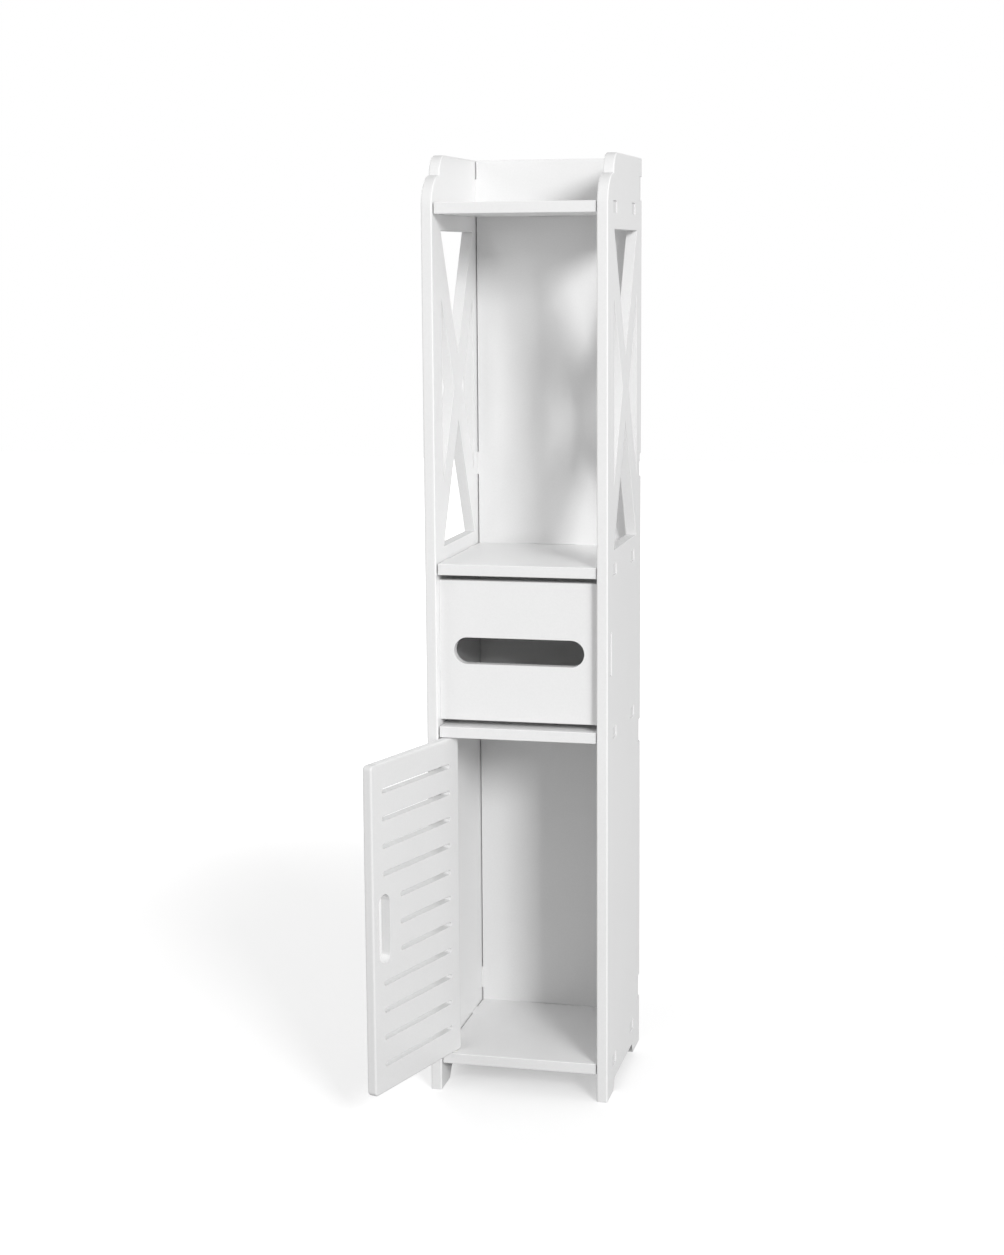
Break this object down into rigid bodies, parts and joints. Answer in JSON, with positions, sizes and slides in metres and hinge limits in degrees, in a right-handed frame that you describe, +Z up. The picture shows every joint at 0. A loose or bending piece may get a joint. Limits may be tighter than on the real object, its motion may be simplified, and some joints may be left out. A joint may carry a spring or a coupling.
{
  "type": "narrow bathroom cabinet",
  "caption": "Tall, narrow free-standing bathroom cabinet of tenoned white board, with cross-braced open sides, a slotted tissue bay and a louvred swing door.",
  "frame": {"origin": "on the floor, under the middle of the carcass between the four feet", "axes": "+Z up, the front with the door and tissue slot faces -Y, +X to the right seen from the front"},
  "size_m": [0.27, 0.4093, 1.2],
  "materials": {
    "white_board": "satin white foam board",
    "white_nylon": "natural nylon",
    "pin_steel": "zinc plated steel"
  },
  "bodies": {
    "carcass": {"left_side_panel": "white_board", "right_side_panel": "white_board", "back_panel": "white_board", "top_shelf": "white_board", "middle_shelf": "white_board", "lower_shelf": "white_board", "bottom_shelf": "white_board", "tissue_front": "white_board", "lower_pin_bush": "white_nylon", "upper_pin_bush": "white_nylon", "door_stop_strip": "white_nylon", "door_stop_screws": "pin_steel"},
    "door": {"door_panel": "white_board", "lower_pivot_pin": "pin_steel", "upper_pivot_pin": "pin_steel"}
  },
  "joints": [
    {"name": "door_hinge", "type": "hinge", "parent": "carcass", "child": "door", "pos_m": [-0.091, -0.1035, 0.2595], "axis": [0, 0, 1], "range_deg": [0, 107]}
  ]
}
